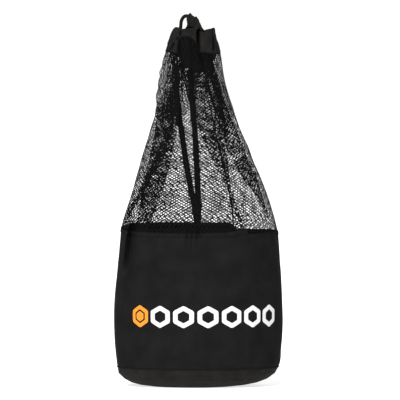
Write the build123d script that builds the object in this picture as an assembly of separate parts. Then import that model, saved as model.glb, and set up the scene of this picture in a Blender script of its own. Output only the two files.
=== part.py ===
from build123d import *
import math
import os

# A drawstring ball bag: a stuffed fabric base and body, a diamond net sleeve gathered to a
# fabric hem casing, and a flat webbing cord. The cord is sewn to the back of the rim, runs up
# the back as two legs, goes through the casing and comes out at the top as a loop.
# Front is -Y, right is +X, and the base stands flat on z = 0 at the middle of the outline.

# Driving dimensions, in millimetres and degrees.
fabric_thickness = 1.6
net_thickness = 1.6
seam_gap = 0.3

body_half_width = 210.0
depth_share = 0.79
base_half_width = 112.0
base_seam_height = 48.0
rim_height = 388.0
rim_tilt = 3.5
hem_bottom = 817.0
hem_top = 877.0
hem_tilt = -18.0
back_seam_angle = 64.0
back_seam_half_angle = 1.1

piping_height = 3.6
piping_proud = 1.6
rim_binding_height = 7.0
rim_binding_proud = 0.9
seam_tape_proud = 0.8

casing_depth = 8.4
casing_skin = 1.5
casing_edge = 4.0
channel_band_height = 14.0
channel_band_thickness = 1.8

webbing_width = 14.0
webbing_thickness = 1.8
webbing_clearance = 3.2
webbing_crossing_step = 2.4
webbing_crossing_height = 492.0

peak_front = -39.6
peak_thickness = 2.8
loop_diameter = 6.0
loop_left_root = (-44.0, -25.0)
loop_right_root = (-10.0, -31.5)

print_low = 147.0
print_high = 207.0
print_pitch = 16.7
print_mark_span = 14.4
print_first_angle = 226.5
print_count = 7
print_film = 0.4

stitch_height = 1.2
stitch_proud = 0.5
stitch_row_spacing = 5.0
anchor_low = 330.0
anchor_high = 370.0
anchor_half_angle = 6.6
bartack_width = 11.0
bartack_length = 20.0
bartack_line = 0.9

# Each station is the bag's outside at one height: height on the axis, half width, half
# depth, centre x, and the tilt of its plane about X, positive where the back is higher.
base_stations = [
    (0.0, base_half_width, 88.0, 0.0, 0.0),
    (5.0, 131.0, 103.0, 0.0, 0.0),
    (19.0, 174.0, 138.0, 0.0, 0.0),
    (33.0, 193.0, 153.0, 0.0, 0.0),
    (base_seam_height, 201.0, 159.0, 0.0, 0.0),
]
body_stations = [
    (base_seam_height, 201.0, 159.0, 0.0, 0.0),
    (95.0, 207.0, 164.0, 0.0, 0.0),
    (150.0, body_half_width, body_half_width * depth_share, 0.0, 0.3),
    (210.0, body_half_width, body_half_width * depth_share, 0.0, 0.9),
    (285.0, 206.0, 163.0, 1.0, 1.8),
    (340.0, 201.0, 159.0, 1.0, 2.8),
    (rim_height, 194.5, 154.0, 1.0, rim_tilt),
]
net_stations = [
    (rim_height, 194.5, 154.0, 1.0, rim_tilt),
    (455.0, 177.0, 139.0, 3.0, 3.2),
    (515.0, 157.5, 122.0, 1.0, 2.0),
    (575.0, 136.0, 104.0, -2.5, 0.0),
    (635.0, 115.0, 87.0, -6.0, -3.0),
    (695.0, 97.0, 72.0, -10.0, -7.0),
    (755.0, 84.0, 60.0, -14.0, -12.0),
    (hem_bottom, 72.0, 50.0, -14.0, hem_tilt),
]
hem_stations = [
    (hem_bottom, 72.0, 50.0, -14.0, hem_tilt),
    (847.0, 62.0, 44.0, -13.0, hem_tilt),
    (hem_top, 52.0, 38.0, -12.0, hem_tilt),
]

# The webbing legs at the back, as x and height from the casing down to the anchor.
left_leg_route = [
    (-50.0, 796.0),
    (-50.0, 745.0),
    (-47.0, 690.0),
    (-39.0, 638.0),
    (-32.0, 585.0),
    (-25.0, 530.0),
    (-17.0, 484.0),
    (-8.0, 440.0),
    (-4.0, 404.0),
    (-3.0, 375.0),
    (-3.0, 349.0),
]
right_leg_route = [
    (-14.0, 798.0),
    (-11.0, 745.0),
    (-8.0, 690.0),
    (-6.0, 638.0),
    (-5.0, 588.0),
    (-3.0, 545.0),
    (-1.5, 510.0),
    (-0.5, 478.0),
    (0.0, 440.0),
    (0.0, 404.0),
    (0.0, 375.0),
    (0.0, 345.0),
]
# The top loop's centreline, as x and height, from its left root over to its right root.
loop_route = [
    (-44.0, 888.7),
    (-42.5, 903.0),
    (-38.5, 917.0),
    (-29.0, 926.0),
    (-18.0, 923.0),
    (-11.5, 911.0),
    (-10.0, 900.0),
    (-10.0, 888.7),
]
# The raised fold of the casing at the front, as x and height.
peak_outline = [
    (-29.0, 889.8),
    (-22.0, 903.0),
    (-24.5, 914.0),
    (-20.0, 932.0),
    (-11.0, 921.0),
    (-4.0, 920.0),
    (2.0, 912.0),
    (4.0, 905.0),
    (13.0, 889.8),
]


def tilted_plane(height, centre_x, tilt):
    lean = math.radians(tilt)
    return Plane(
        origin=(centre_x, 0, height),
        x_dir=(1, 0, 0),
        z_dir=(0, -math.sin(lean), math.cos(lean)),
    )


def station_at(stations, height):
    """The station at any height, straight between its neighbours."""
    for low, high in zip(stations, stations[1:]):
        if height <= high[0] or high is stations[-1]:
            share = (height - low[0]) / (high[0] - low[0])
            return tuple(a + (b - a) * share for a, b in zip(low, high))


def stations_between(stations, low, high):
    inner = [s for s in stations if low + 1.0 < s[0] < high - 1.0]
    return [station_at(stations, low), *inner, station_at(stations, high)]


def sector_face(station, outer, inner, start, end):
    """A strip of the ring between two offsets from the outside, from one angle to another."""
    height, half_width, half_depth, centre_x, tilt = station
    span = {"start_angle": start, "arc_size": end - start}
    outside = EllipticalCenterArc((0, 0), half_width + outer, half_depth + outer, **span)
    inside = EllipticalCenterArc((0, 0), half_width + inner, half_depth + inner, **span)
    ends = [Line(outside @ 1, inside @ 1), Line(inside @ 0, outside @ 0)]
    return tilted_plane(height, centre_x, tilt) * make_face([outside, inside, *ends])


def sector(stations, outer, inner, start, end):
    return loft([sector_face(s, outer, inner, start, end) for s in stations])


def disc_stack(stations, offset):
    """The filled solid through whole ellipses."""
    faces = [
        tilted_plane(s[0], s[3], s[4]) * make_face(Ellipse(s[1] + offset, s[2] + offset).edges())
        for s in stations
    ]
    return loft(faces)


def ring(stations, outer, inner):
    """A closed ring. The inner stack runs past both ends, so the cut leaves no skin."""
    low, high = stations[0], stations[-1]
    below = (low[0] - 1.0, *low[1:])
    above = (high[0] + 1.0, *high[1:])
    middle = stations[1:-1] if len(stations) > 2 else []
    core = disc_stack([below, *middle, above], inner)
    return disc_stack(stations, outer) - core


def back_surface(x, height):
    """The y of the bag's outside at the back, for a point beside it at that x and height."""
    stations = body_stations if height < rim_height else net_stations
    y = 0.0
    for _ in range(8):
        on_axis = height - y * math.tan(math.radians(station_at(stations, height)[4]))
        on_axis = min(max(on_axis, stations[0][0]), stations[-1][0])
        _, half_width, half_depth, centre_x, _ = station_at(stations, on_axis)
        y = half_depth * math.sqrt(max(0.0, 1 - ((x - centre_x) / half_width) ** 2))
    return y


def webbing(route, clearances):
    """Flat webbing through level rectangles, its inner face that far off the surface."""
    faces = []
    for (x, height), clearance in zip(route, clearances):
        y = back_surface(x, height) + clearance + webbing_thickness / 2
        reach = webbing_width / 4
        yaw = math.degrees(
            math.atan2(
                back_surface(x + reach, height) - back_surface(x - reach, height), 2 * reach
            )
        )
        strip = Rectangle(webbing_width, webbing_thickness)
        faces.append(Plane((x, y, height)) * Rot(0, 0, yaw) * strip)
    return loft(faces, ruled=True)


def loop_point(x, height):
    """A point in the upright plane through the loop's two roots."""
    share = (x - loop_left_root[0]) / (loop_right_root[0] - loop_left_root[0])
    y = loop_left_root[1] + (loop_right_root[1] - loop_left_root[1]) * share
    return (x, y, height)


def rounded_path(points):
    """Straight runs joined by arcs as large as the runs allow, with the radii printed."""
    corners = [Vector(*p) for p in points]
    radii = []
    for before, here, after in zip(corners, corners[1:], corners[2:]):
        run_in, run_out = here - before, after - here
        shorter = min(run_in.length, run_out.length)
        radii.append(0.45 * shorter / math.tan(math.radians(run_in.get_angle(run_out)) / 2))
    print("loop radii", [round(r, 1) for r in radii])
    return FilletPolyline(*points, radius=radii)


def base_panel():
    """The base, a dish with a flat middle."""
    top = base_seam_height - seam_gap / 2
    outside = disc_stack(stations_between(base_stations, 0.0, top), 0.0)
    inner_stations = stations_between(base_stations, 0.0, top)
    lifted = [(s[0] + fabric_thickness, *s[1:]) for s in inner_stations]
    return outside - disc_stack(lifted, -2 * fabric_thickness)


def base_piping():
    low = base_seam_height - piping_height / 2
    high = base_seam_height + piping_height / 2
    seam = station_at(base_stations, base_seam_height)
    stations = [station_at(base_stations, low), seam, station_at(body_stations, high)]
    return ring(stations, 2 * seam_gap + piping_proud, 2 * seam_gap)


def wrap(stations, low, high, thickness):
    """One cloth wrapped round the bag, its two edges at the seam on the back."""
    start = back_seam_angle + back_seam_half_angle
    end = back_seam_angle + 360.0 - back_seam_half_angle
    return sector(stations_between(stations, low, high), 0.0, -thickness, start, end)


def seam_tape(stations, low, high):
    half = back_seam_half_angle - 0.15
    return sector(
        stations_between(stations, low, high),
        seam_tape_proud,
        -fabric_thickness,
        back_seam_angle - half,
        back_seam_angle + half,
    )


def rim_binding():
    low = station_at(body_stations, rim_height - rim_binding_height / 2)
    middle = station_at(body_stations, rim_height)
    high = station_at(net_stations, rim_height + rim_binding_height / 2)
    inner = seam_gap + seam_tape_proud
    return ring([low, middle, high], inner + rim_binding_proud, inner)


def stitch_rows(stations, first_height):
    """Two rows of stitching that stand proud of the cloth."""
    rows = []
    for row in range(2):
        low = first_height + row * stitch_row_spacing
        ends = [station_at(stations, low), station_at(stations, low + stitch_height)]
        inner = seam_gap + seam_tape_proud
        rows.append(ring(ends, inner + stitch_proud, inner))
    return Compound(children=rows)


def hem_casing():
    """The hem, a sewn channel round the mouth, hollow for the webbing."""
    low, high = hem_bottom + seam_gap / 2, hem_top
    casing = ring(stations_between(hem_stations, low, high), 0.0, -casing_depth)
    channel_stations = stations_between(hem_stations, low + casing_edge, high - casing_edge)
    channel = ring(channel_stations, -casing_skin, casing_skin - casing_depth)
    return casing - channel


def drawcord():
    """The webbing inside the casing, all the way round the mouth."""
    middle = (hem_bottom + hem_top) / 2
    half = channel_band_height / 2
    stations = [station_at(hem_stations, middle - half), station_at(hem_stations, middle + half)]
    outer = (channel_band_thickness - casing_depth) / 2
    return ring(stations, outer, outer - channel_band_thickness)


def hem_peak():
    sketch = Plane.XZ.offset(-peak_front) * make_face(Polyline(*peak_outline, close=True))
    return extrude(sketch, amount=-peak_thickness)


def top_loop():
    path = rounded_path([loop_point(x, height) for x, height in loop_route])
    section = Plane(origin=path @ 0, z_dir=path % 0) * Circle(loop_diameter / 2)
    tube = sweep(section, path=path)
    expected = math.pi * (loop_diameter / 2) ** 2 * path.length
    print("loop length", round(path.length, 1), "volume share", round(tube.volume / expected, 4))
    return tube


def leg_clearances(route, step):
    """The leg that crosses over the other stands a layer further out below the crossing."""
    return [
        webbing_clearance + (step if height < webbing_crossing_height else 0.0)
        for _, height in route
    ]


def strap_anchor():
    return sector(
        stations_between(body_stations, anchor_low, anchor_high),
        seam_gap + 1.4,
        seam_gap,
        90.0 - anchor_half_angle,
        90.0 + anchor_half_angle,
    )


def anchor_stitching():
    """A sewn box with a cross, through both legs and the patch."""
    height = (anchor_low + anchor_high) / 2 + 9.0
    off = webbing_clearance + webbing_crossing_step + webbing_thickness + 2 * seam_gap
    y = back_surface(0.0, height) + off
    rise = back_surface(0.0, height + 10.0) - back_surface(0.0, height - 10.0)
    face = Plane(origin=(0, y, height), x_dir=(1, 0, 0), z_dir=(0, 20.0, -rise))
    hole = Rectangle(bartack_width - 2 * bartack_line, bartack_length - 2 * bartack_line)
    lines = Rectangle(bartack_width, bartack_length) - hole
    diagonal = math.hypot(bartack_width, bartack_length) - 2 * bartack_line
    angle = math.degrees(math.atan2(bartack_length, bartack_width))
    for turn in (angle, -angle):
        lines += Rot(0, 0, turn) * Rectangle(diagonal, bartack_line)
    return extrude(face * lines, amount=stitch_proud)


def print_mark(index):
    """One mark of the printed row on the front, a film on the cloth."""
    middle = print_first_angle + index * print_pitch
    return sector(
        stations_between(body_stations, print_low, print_high),
        seam_gap + print_film,
        seam_gap,
        middle - print_mark_span / 2,
        middle + print_mark_span / 2,
    )


half_gap = seam_gap / 2
body_low, body_high = base_seam_height + half_gap, rim_height - half_gap
net_low, net_high = rim_height + half_gap, hem_bottom - half_gap
nodes = {
    "base_panel": base_panel(),
    "base_piping": base_piping(),
    "body_wrap": wrap(body_stations, body_low, body_high, fabric_thickness),
    "body_back_seam": seam_tape(body_stations, body_low + 2.0, body_high),
    "rim_binding": rim_binding(),
    "rim_stitching": stitch_rows(body_stations, rim_height - 15.0),
    "net_sleeve": wrap(net_stations, net_low, net_high, net_thickness),
    "net_back_seam": seam_tape(net_stations, net_low, net_high),
    "hem_casing": hem_casing(),
    "hem_stitching": stitch_rows(hem_stations, hem_bottom + 2.0),
    "hem_peak": hem_peak(),
    "drawcord": drawcord(),
    "top_loop": top_loop(),
    "strap_left_leg": webbing(left_leg_route, leg_clearances(left_leg_route, 0.0)),
    "strap_right_leg": webbing(
        right_leg_route, leg_clearances(right_leg_route, webbing_crossing_step)
    ),
    "strap_anchor": strap_anchor(),
    "anchor_stitching": anchor_stitching(),
    "print_accent": print_mark(0),
    "print_marks": Compound(children=[print_mark(i) for i in range(1, print_count)]),
}
os.makedirs("parts", exist_ok=True)
for name, shape in nodes.items():
    export_step(shape, f"parts/{name}.step")
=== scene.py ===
import math

import bpy
import numpy as np
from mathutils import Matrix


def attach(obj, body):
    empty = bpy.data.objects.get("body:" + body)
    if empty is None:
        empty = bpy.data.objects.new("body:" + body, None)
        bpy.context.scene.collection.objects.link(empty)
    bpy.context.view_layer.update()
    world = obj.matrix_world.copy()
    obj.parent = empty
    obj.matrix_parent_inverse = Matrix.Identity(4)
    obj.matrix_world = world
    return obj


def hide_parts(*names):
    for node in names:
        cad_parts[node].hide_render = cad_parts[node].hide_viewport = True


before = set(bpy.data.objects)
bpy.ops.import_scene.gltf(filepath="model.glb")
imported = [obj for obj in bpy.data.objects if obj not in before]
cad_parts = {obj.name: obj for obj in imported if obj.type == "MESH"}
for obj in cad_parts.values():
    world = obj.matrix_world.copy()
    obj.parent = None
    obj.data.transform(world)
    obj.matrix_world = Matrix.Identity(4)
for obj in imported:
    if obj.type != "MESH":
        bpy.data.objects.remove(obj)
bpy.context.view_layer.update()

# The bag stands on z = 0, faces -Y, and its middle is at x = 0. Lengths here are millimetres,
# and every mesh is scaled to metres when it is made.
MM = 0.001

# Sizes of the cloth and the net.
NET_CELL_WIDTH = 11.4
NET_CELL_HEIGHT = 8.4
NET_STRAND = 2.02
NET_THICKNESS = 0.5
NET_COLUMNS = 105
NET_PIECES = 4
BODY_CLOTH = 1.2
HEM_LENGTH = 60.0
HEM_LAYER = 0.6
TAPE_THICKNESS = 0.8
BINDING_THICKNESS = 0.7
PATCH_THICKNESS = 1.4
WEBBING_WIDTH = 15.0
WEBBING_THICKNESS = 1.8
LOOP_WIDTH = 9.0
LOOP_THICKNESS = 8.8
LOOP_TWIST = 17.0
PIPING_WIDTH = 2.8

# Heights on the axis of the seams, and the angle of the back seam in degrees.
BASE_SEAM = 48.0
RIM = 388.0
HEM_BOTTOM = 817.0
HEM_TOP = HEM_BOTTOM + HEM_LENGTH
SLEEVE_LOW = RIM - 8.0
SLEEVE_HIGH = HEM_BOTTOM + 8.0
SEAM_ANGLE = 64.0

# How finely the cloths are modelled: their columns and rows.
SLEEVE_GRID = (1120, 240)
CASING_GRID = (1120, 24)
PEAK_GRID = (150, 40)
BODY_GRID = (720, 170)
BASE_GRID = 161
FOLD_STEPS = 7

# Each station is the bag's outside at one height: height on the axis, half width, half
# depth, centre x, and the tilt of its plane about X in degrees. The first BASE_STATIONS are
# the base's too.
BASE_STATIONS = 6
STATIONS = np.array([
    (0, 100, 84, -16, 0),
    (4, 134, 106, -13.5, 0),
    (10, 158.5, 124, -10, 0),
    (19, 178, 140.5, -6.5, 0),
    (33, 195, 153.5, -4, 0),
    (BASE_SEAM, 201, 159, -1, 0),
    (95, 207, 164, 0, 0),
    (150, 210, 166, 0, 0.3),
    (210, 210, 166, 0, 0.9),
    (285, 206, 163, 1.5, 1.8),
    (340, 201, 159, 2.5, 2.8),
    (RIM, 195, 154, 3, 3.5),
    (455, 177, 139, 3.5, 3.2),
    (515, 157, 122, 1, 2),
    (575, 136.5, 104, -3, 0),
    (635, 116, 87, -7.5, -3),
    (695, 96, 72, -10, -7),
    (755, 83, 60, -16.5, -12),
    (HEM_BOTTOM, 68, 50, -13.5, -18),
    (847, 57, 44, -11, -18),
    (HEM_TOP, 47.5, 38, -9.5, -18),
    (900, 43, 34, -9.5, -18),
])


def smooth_table(table, x):
    """A smooth curve through the rows of a table, read at each x. The first column is x."""
    xs, ys = table[:, 0], table[:, 1:]
    slopes = np.gradient(ys, xs, axis=0)
    x = np.clip(np.asarray(x, float), xs[0], xs[-1])
    i = np.clip(np.searchsorted(xs, x, side="right") - 1, 0, len(xs) - 2)
    step = xs[i + 1] - xs[i]
    t = ((x - xs[i]) / step)[..., None]
    step = step[..., None]
    return (
        (1 + 2 * t) * (1 - t) ** 2 * ys[i]
        + t * (1 - t) ** 2 * step * slopes[i]
        + t * t * (3 - 2 * t) * ys[i + 1]
        + t * t * (t - 1) * step * slopes[i + 1]
    )


def ease(x):
    x = np.clip(x, 0.0, 1.0)
    return x * x * (3 - 2 * x)


def running(steps):
    """The running total of steps, from 0."""
    return np.concatenate([[0], np.cumsum(steps)])


def length(vectors):
    return np.linalg.norm(vectors, axis=-1)


def unit(vectors):
    return vectors / np.maximum(length(vectors), 1e-9)[..., None]


def bump(x, middle, reach):
    """1 at the middle, and 0 from that far away."""
    return ease(1 - np.abs(x - middle) / reach)


def valley(x, middle, reach):
    """Like bump, with straight sides."""
    return np.clip(1 - np.abs(x - middle) / reach, 0.0, 1.0)


def ripple(u, v, seed, across, up):
    """Smooth seeded noise between about -1 and 1, the same each run, that joins at u = 0 and 1."""
    rng = np.random.default_rng(seed)
    total = 0.0
    for _ in range(7):
        waves = rng.integers(max(1, across // 2), across + 1)
        rise = rng.uniform(0.3, 1.0) * up
        phase, turn = rng.uniform(0, 2 * math.pi, 2)
        total = total + np.sin(2 * math.pi * waves * u + phase + rise * v) * np.cos(
            rise * v * 0.7 + turn
        )
    return total / 3.0


class Pleat:
    """A pleat of the sleeve and the casing, on the front or the back. Each row is a height on
    the axis with the left and right x of the overlap. lap is 1 where the outer fold points
    towards rising angle, which is rightwards on the front, and gap is the space between the
    layers."""

    def __init__(self, side, lap, gap, rows):
        self.side, self.lap, self.gap = side, lap, gap
        self.rows = np.array(sorted(rows), float)

    def reach(self, height):
        """The overlap's left and right x at a height."""
        return [np.interp(height, self.rows[:, 0], self.rows[:, k]) for k in (1, 2)]


LEFT_BAND = Pleat("front", 1, 5.0, [
    (388, -158, -124), (410, -155, -119), (427, -151, -114), (465, -146, -96),
    (515, -136, -81), (565, -126, -68), (615, -113, -54), (665, -106, -47), (690, -102, -42),
    (715, -94, -38), (755, -81, -38), (790, -70, -47), (817, -64, -51), (860, -56, -45),
    (900, -50, -37),
])
RIGHT_OUTER = Pleat("front", -1, 4.0, [
    (420, 176, 176), (440, 164, 174), (465, 147, 165), (490, 135, 158), (515, 115, 149),
    (540, 98, 136), (557, 89, 129), (590, 76, 116), (635, 60, 97), (652, 54, 89),
    (675, 46, 79), (715, 33, 65), (755, 22, 53), (777, 16, 45), (800, 10, 37),
    (817, 4, 31), (850, 2, 27), (880, 6, 25), (900, 10, 25),
])
RIGHT_INNER = Pleat("front", -1, 5.0, [
    (388, 106, 115), (415, 99, 109), (452, 85, 95), (490, 73, 83), (527, 57, 78),
    (565, 37, 74), (590, 24, 70), (620, 8, 62), (647, -1, 53), (675, -5, 43),
    (715, -10, 30), (755, -13, 19), (777, -15, 11), (817, -18, -6), (845, -11, -11),
    (900, -11, -11),
])
PLEATS = [
    LEFT_BAND, RIGHT_OUTER, RIGHT_INNER,
    Pleat("front", 1, 4.5, [(806, -70, -70), (817, -74, -63), (850, -68, -58), (900, -59, -49)]),
    Pleat("back", 1, 4.0, [
        (400, -180, -180), (427, -175, -167), (465, -152, -141), (490, -142, -129),
        (515, -133, -119), (565, -110, -92), (615, -87, -68), (665, -82, -63),
        (715, -78, -58), (755, -70, -48), (817, -60, -36), (900, -50, -30),
    ]),
    Pleat("front", 1, 4.5, [(798, 40, 40), (817, 33, 42), (850, 28, 37), (900, 20, 29)]),
    Pleat("back", -1, 4.0, [
        (700, -16, -16), (730, -28, -16), (770, -36, -6), (817, -40, 4), (900, -26, 8),
    ]),
    Pleat("back", 1, 4.0, [
        (600, 74, 74), (615, 68, 74), (652, 59, 71), (702, 48, 64), (765, 32, 48),
        (802, 23, 38), (817, 18, 36), (900, 10, 24),
    ]),
]
# An overlap narrower than the least has no fold, and from the full width its layers stand at
# the pleat's whole gap. The path is softened over this many steps to each side.
LEAST_OVERLAP = 0.4
FULL_OVERLAP = 14.0
FOLD_LEAD = 6.0
PATH_STEP = 0.6
SOFTENING = 4
ANGLES = np.radians(SEAM_ANGLE + np.linspace(0, 360, 1441))


class Section:
    """One level of the sleeve or casing: the pleated line from the seam round to the seam."""

    def __init__(self, height):
        self.height = height
        a, b, cx, tilt = smooth_table(STATIONS, height)
        self.a, self.b, self.cx, self.lean = float(a), float(b), float(cx), math.radians(tilt)
        x, y = self.a * np.cos(ANGLES), self.b * np.sin(ANGLES) / math.cos(self.lean)
        self.arc = running(np.hypot(np.diff(x), np.diff(y)))
        self.looseness = 0.25 + 0.75 * ease((height - RIM) / 30) + 0.4 * ease((height - 770) / 50)
        self.path, self.turns = self.fold_path()

    def arc_at(self, x, side):
        """The arc length from the seam to the outline's point with that x on that side."""
        angle = math.acos(max(-0.995, min(0.995, (x - self.cx) / self.a)))
        if side == "front":
            angle = 2 * math.pi - angle
        start = math.radians(SEAM_ANGLE)
        if angle < start:
            angle += 2 * math.pi
        return float(np.interp(angle, ANGLES, self.arc))

    def fold_path(self):
        """Rows of arc length, offset outwards and share of the cloth's length, and the shares
        at which each pleat turns back and forward again."""
        points = [(0.0, 0.0)]
        spans, folds = [], []
        for pleat in PLEATS:
            ends = sorted(self.arc_at(x, pleat.side) for x in pleat.reach(self.height))
            spans.append((*ends, pleat))
        spans.sort(key=lambda span: span[0])
        for start, end, pleat in spans:
            width = end - start
            if width < LEAST_OVERLAP:
                continue
            size = min(1.0, width / FULL_OVERLAP)
            gap = pleat.gap * size * pleat.lap * self.looseness
            lead = FOLD_LEAD * size
            turn = 0.45 * abs(gap)
            folds.append((pleat, len(points)))
            points += [
                (start - lead, 0.0), (start + 0.1 * width, gap), (end - turn, gap),
                (end, 0.75 * gap), (end, 0.25 * gap), (end - turn, 0.0),
                (start + turn, 0.0), (start, -0.25 * gap), (start, -0.75 * gap),
                (start + turn, -gap), (end - 0.1 * width, -gap), (end + lead, 0.0),
            ]
        points.append((self.arc[-1], 0.0))
        points = np.array(points)
        run = running(np.hypot(*np.diff(points, axis=0).T))
        count = int(run[-1] / PATH_STEP)
        even = np.linspace(0, run[-1], count)
        line = np.stack([np.interp(even, run, points[:, k]) for k in range(2)])
        turns = {
            pleat: (run[index + 3] / run[-1], run[index + 8] / run[-1]) for pleat, index in folds
        }
        kernel = np.hanning(2 * SOFTENING + 3)[1:-1]
        kernel /= kernel.sum()
        ends = ((0, 0), (SOFTENING, SOFTENING))
        padded = np.pad(line, ends, mode="reflect", reflect_type="odd")
        line = np.stack([np.convolve(row, kernel, mode="valid") for row in padded])
        return np.stack([*line, np.linspace(0, 1, count)]), turns

    def at(self, u):
        """The angle and the offset outwards at shares u of the cloth's length."""
        arc, offset = (np.interp(u, self.path[2], row) for row in self.path[:2])
        return np.interp(arc, self.arc, ANGLES), offset

    def point(self, angle, offset):
        x = self.cx + (self.a + offset) * np.cos(angle)
        y = (self.b + offset) * np.sin(angle)
        return np.stack([x, y, self.height + y * math.tan(self.lean)], -1)


# How far the rim's seam stands above or below its tilted plane, by angle in degrees.
RIM_WAVE = np.array([
    (-1, -1), (30, -5), (61, -9), (67, 6), (90, 4.5), (150, 10), (180, 9), (200, 3), (225, 4.5),
    (270, 6), (290, 7), (303, 13), (306, 12), (309, 0), (325, 1), (359, -1),
])


def rim_lift(angle):
    return np.interp(np.degrees(angle) % 360, RIM_WAVE[:, 0], RIM_WAVE[:, 1])


# How far the casing's bottom and top edges stand off their tilted planes, by x, on the
# front and on the back.
FRONT_LOW = np.array([
    (-85, 17), (-76, 12), (-68, 6), (-58, 1), (-50, 0), (40, 1), (48, 8), (56, 16),
])
BACK_LOW = np.array([
    (-85, 17), (-75, 25), (-60, 27), (-45, 16), (-36, 0), (-26, -6), (-8, -15), (4, -19),
    (16, -19), (25, -14), (31, 0), (38, 12), (47, 22), (56, 17),
])
FLAP_LOW = np.array([
    (-50, 34), (-44, 38), (-38, 40), (-32, 41), (-26, 40), (-20, 37), (-14, 32), (-8, 25),
    (-3, 14), (1, 4), (4, 0),
])
FLAP_START = -46.0
FLAP_END = 4.0
FLAP_RISE = 38.0
FLAP_HEIGHT = 46.0
FLAP_LEAN = 11.0
FRONT_HIGH = np.array([
    (-66, 11.5), (-58, 12), (-54, 10.5), (-49, 7.5), (-42, 4), (-31, 3), (-12, 4), (-6, 8),
    (-1, 16), (3, 15), (8, 4), (13, -5), (17, -5), (30, 0.5), (37, 7), (44, 10),
])
BACK_HIGH = np.array([
    (-66, 11.5), (-58, 12), (-50, 11), (-44, 10.5), (-24, 18), (0, 17), (16, 3.5), (30, 8),
    (38, 12), (44, 10),
])


def table_at(table, x):
    return np.interp(x, table[:, 0], table[:, 1])


def high_lift(section, angle, offset):
    """How far the casing's top edge stands off its plane."""
    x = section.cx + (section.a + offset) * np.cos(angle)
    return np.where(np.sin(angle) < 0, table_at(FRONT_HIGH, x), table_at(BACK_HIGH, x))


def low_lift(section, u, angle, offset):
    """How far the casing's bottom edge stands off its plane. From the left pleat's fold it
    rises to the flap, which ends at FLAP_END."""
    x = section.cx + (section.a + offset) * np.cos(angle)
    front = np.sin(angle) < 0
    turn_out, turn_in = section.turns[LEFT_BAND]
    rising = table_at(FRONT_LOW, x) + FLAP_RISE * ease((u - turn_out) / (turn_in - turn_out))
    flap = (u > turn_in) & front & (x < FLAP_END)
    lift = np.where(front, np.where(flap, table_at(FLAP_LOW, x), rising), table_at(BACK_LOW, x))
    return np.where(front & (x > FLAP_END), table_at(FRONT_LOW, x), lift)


# Waves down the casing's front: x at its bottom and at its top, depth, and reach.
CASING_WAVES = ((-50.0, -26.0, 5.0, 11.0), (4.0, 12.0, 13.0, 29.0))


def casing_offset(section, u, angle, offset, low, v):
    """The offset with the casing's own waves, and its flap that leans out over the front."""
    x = section.cx + section.a * np.cos(angle)
    front = np.sin(angle) < 0
    offset = offset + (0.4 + 1.3 * v) * ripple(u, 3.0 * v, 21, 16, 2.0)
    offset = offset + 1.5 * math.sin(math.pi * min(v, 1.0))
    crease = sum(
        depth * bump(x, low_x + (high_x - low_x) * v, reach)
        for low_x, high_x, depth, reach in CASING_WAVES
    )
    offset = offset + np.where(front, crease, 0.0) * ease(v / 0.25)
    lean = 0.2 + 0.8 * v
    over = front & (x < FLAP_END) & (x > FLAP_START)
    flap = np.where(over, np.clip(low, 0, FLAP_HEIGHT) / FLAP_HEIGHT, 0.0)
    return offset + flap * FLAP_LEAN * math.sin(math.pi * lean)


# The casing's narrow creases: x, then depth, at its bottom and at its top, and reach. Those
# under the loop fade out upwards, so that the loop can lie down.
CASING_CREASES = (
    (-73.0, -37.0, 16.0, 2.0, 4.5),
    (-44.5, -43.0, 13.0, 0.0, 3.5),
    (39.0, 34.0, 16.0, 16.0, 4.5),
)
SLOT_DEPTH = 36.0


def casing_groove(x, angle, v):
    """How far the casing's front goes in, straight back, at its creases and beside its flap."""
    middle = -0.5 + 17.0 * float(ease((v - 0.7) / 0.3))
    groove = SLOT_DEPTH * ease((5.6 - np.abs(x - middle)) / 2.6)
    for low_x, high_x, low_depth, high_depth, reach in CASING_CREASES:
        depth = low_depth + (high_depth - low_depth) * float(ease((v - 0.45) / 0.35))
        groove = groove + depth * valley(x, low_x + (high_x - low_x) * v, reach)
    return np.where(np.sin(angle) < 0, groove, 0.0) * ease(v / 0.2)


def rim_groove(angle):
    """How far the cloth goes in, straight back: the deep fold at the rim's left, and the
    puckers in the middle of its front."""
    x = np.degrees(angle) % 360
    fold = 42.0 * valley(x, 211.0, 8.5)
    puckers = 7.0 * valley(x, 261.0, 1.8) + 9.0 * valley(x, 264.5, 1.8)
    puckers = puckers + 14.0 * valley(x, 268.6, 3.4)
    return fold, puckers


def casing_level(section, u):
    """What a level has of the casing: the angle and offset of its pleats, the lift of its
    bottom edge, the casing's whole offset, and the share of the way up it."""
    angle, offset = section.at(u)
    low = low_lift(section, u, angle, offset)
    v = max(0.0, section.height - HEM_BOTTOM) / HEM_LENGTH
    return angle, offset, low, casing_offset(section, u, angle, offset, low, v), v


def sleeve_grid(columns, rows):
    """The net's surface from inside the rim's binding up into the casing, as rows of points."""
    u = np.linspace(0, 1, columns + 1)
    grid = []
    for height in np.linspace(SLEEVE_LOW, SLEEVE_HIGH, rows + 1):
        section = Section(height)
        angle, offset, low, casing, up_casing = casing_level(section, u)
        v = (height - RIM) / (HEM_BOTTOM - RIM)
        slack = math.sin(math.pi * min(1.0, max(0.0, v))) ** 0.5
        near = ease((height - HEM_BOTTOM + 40.0) / 40.0)
        loose = offset + slack * (1.2 + 2.2 * v) * ripple(u, 5.0 * v, 5, 26, 3.0)
        loose = loose - 2.4 * ease((RIM + 1.0 - height) / 5.0)
        fold, puckers = rim_groove(angle)
        point = section.point(angle, loose * (1 - near) + casing * near)
        point[:, 1] += fold * (1 - ease(v / 0.16)) + puckers * (1 - ease(v / 0.06))
        point[:, 1] += casing_groove(point[:, 0], angle, up_casing)
        point[:, 2] += rim_lift(angle) * (1 - ease(v / 0.45))
        point[:, 2] += low * ease((v - 0.72) / 0.28) ** 1.5
        grid.append(point)
    return np.array(grid)


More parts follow.
